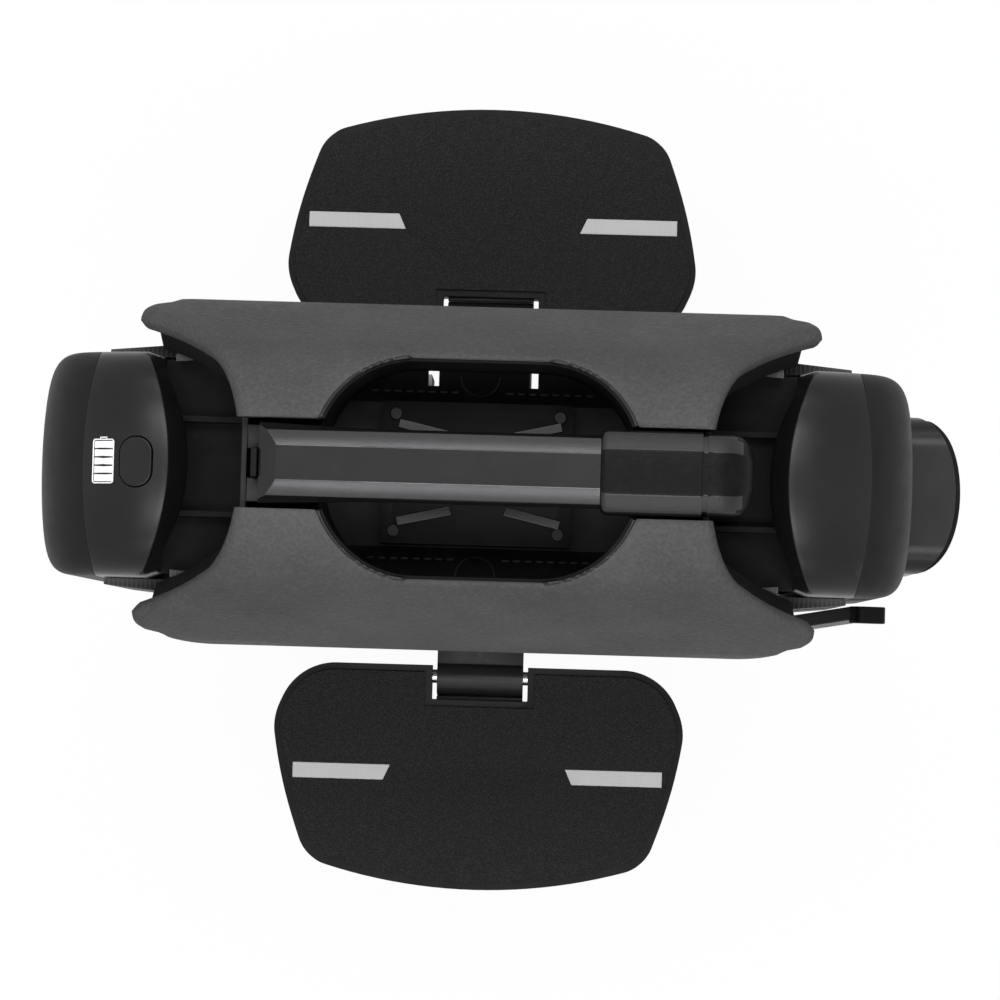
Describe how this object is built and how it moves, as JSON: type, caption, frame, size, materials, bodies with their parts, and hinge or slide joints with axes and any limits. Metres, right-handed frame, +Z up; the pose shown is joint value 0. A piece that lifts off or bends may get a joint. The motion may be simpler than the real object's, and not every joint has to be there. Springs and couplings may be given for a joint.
{
  "type": "electric unicycle",
  "caption": "Electric unicycle with a sprung hub-motor wheel, folding pedals, leather knee pads, a lifting carry handle and lamps at both ends.",
  "frame": {"origin": "where the tyre meets the ground, under the axle", "axes": "+X forward to the headlight, +Y to the rider's left, +Z up"},
  "size_m": [0.6017, 0.564, 0.7019],
  "materials": {
    "tyre": "matt rubber with tread",
    "rim_black": "satin black",
    "steel": "bright",
    "iron": "laminated",
    "copper": "enamelled winding",
    "bronze": "sintered",
    "alloy": "bead blasted grey",
    "alloy_black": "black anodised",
    "grip_sheet": "fine grip grain",
    "stripe": "silver reflective film",
    "black_plastic": "matt moulded",
    "textured_plastic": "fine dotted texture",
    "satin_plastic": "satin moulded",
    "pad_leather": "grained padded skin",
    "reflector": "vacuum metallised",
    "lens": "clear",
    "tail_red": "red translucent",
    "rubber": "matt soft",
    "board": "solder mask",
    "handle_metal": "satin grey",
    "indicator_white": "lit segments"
  },
  "bodies": {
    "shell": {"main_frame": "alloy_black", "guide_tubes": "steel", "guide_feet": "alloy_black", "shock_cylinders": "alloy", "inner_fender": "black_plastic", "side_shell_left": "textured_plastic", "side_shell_right": "textured_plastic", "body_screws": "steel", "upper_shells": "black_plastic", "knee_pad_left": "pad_leather", "knee_pad_right": "pad_leather", "cavity_liner": "black_plastic", "rear_cover": "satin_plastic", "front_cover": "satin_plastic", "end_bands": "satin_plastic", "recess_trays": "black_plastic", "battery_cases": "black_plastic", "headlight_housing": "satin_plastic", "headlight_reflector": "reflector", "headlight_lens": "lens", "tail_light": "tail_red", "charge_port": "black_plastic", "controller_box": "alloy_black", "controller_board": "board", "controller_lid": "black_plastic", "mast_sleeve": "alloy_black", "battery_indicator": "indicator_white", "stand_bolt": "steel"},
    "wheel": {"tyre": "tyre", "rim": "rim_black", "magnet_ring": "steel", "hub_covers": "rim_black", "hub_cover_screws": "steel", "wheel_bearings": "steel", "valve_stem": "steel"},
    "carriage": {"axle": "steel", "stator_core": "iron", "stator_coils": "copper", "hangers": "alloy", "carriage_fasteners": "steel", "guide_bushes": "bronze", "shock_rods": "steel", "pedal_brackets": "alloy_black", "pedal_pins": "steel"},
    "left_pedal": {"pedal_plate_left": "alloy_black", "pedal_grip_left": "grip_sheet", "pedal_stripes_left": "stripe"},
    "right_pedal": {"pedal_plate_right": "alloy_black", "pedal_grip_right": "grip_sheet", "pedal_stripes_right": "stripe"},
    "mast": {"mast_mid_tube": "alloy"},
    "handle": {"mast_inner_tube": "alloy", "handle_bar": "handle_metal", "rubber_grip": "rubber"},
    "lift_switch": {"lift_switch": "rubber"},
    "handle_latch": {"handle_latch": "black_plastic"},
    "power_button": {"power_button": "satin_plastic"},
    "charge_cap": {"charge_cap": "rubber"},
    "side_stand": {"side_stand": "alloy", "stand_foot": "rubber"}
  },
  "joints": [
    {"name": "suspension_travel", "type": "slide", "parent": "shell", "child": "carriage", "axis": [0, 0, 1], "range_m": [0, 0.085], "stiffness_N_per_m": 9000},
    {"name": "wheel_spin", "type": "hinge", "parent": "carriage", "child": "wheel", "pos_m": [0, 0, 0.23], "axis": [0, 1, 0], "continuous": true},
    {"name": "left_pedal_fold", "type": "hinge", "parent": "carriage", "child": "left_pedal", "pos_m": [0, 0.129, 0.162], "axis": [1, 0, 0], "range_deg": [0, 88]},
    {"name": "right_pedal_fold", "type": "hinge", "parent": "carriage", "child": "right_pedal", "pos_m": [0, -0.129, 0.162], "axis": [-1, 0, 0], "range_deg": [0, 88]},
    {"name": "mast_lift", "type": "slide", "parent": "shell", "child": "mast", "axis": [0, 0, 1], "range_m": [0, 0.135]},
    {"name": "handle_lift", "type": "slide", "parent": "mast", "child": "handle", "axis": [0, 0, 1], "range_m": [0, 0.135]},
    {"name": "lift_switch_press", "type": "slide", "parent": "handle", "child": "lift_switch", "axis": [0, 0, 1], "range_m": [0, 0.0015], "stiffness_N_per_m": 300},
    {"name": "latch_press", "type": "slide", "parent": "shell", "child": "handle_latch", "axis": [-1, 0, 0], "range_m": [0, 0.0025], "stiffness_N_per_m": 300},
    {"name": "power_button_press", "type": "slide", "parent": "shell", "child": "power_button", "axis": [0.2556, 0, -0.9668], "range_m": [0, 0.0015], "stiffness_N_per_m": 300},
    {"name": "charge_cap_hinge", "type": "hinge", "parent": "shell", "child": "charge_cap", "pos_m": [-0.282, 0, 0.3935], "axis": [0, 1, 0], "range_deg": [0, 110]},
    {"name": "stand_fold", "type": "hinge", "parent": "shell", "child": "side_stand", "pos_m": [0.15, -0.0947, 0.29], "axis": [0, 1, 0], "range_deg": [0, 140]}
  ],
  "couplings": [
    {"joint": "handle_lift", "follows": "mast_lift", "ratio": 1}
  ]
}
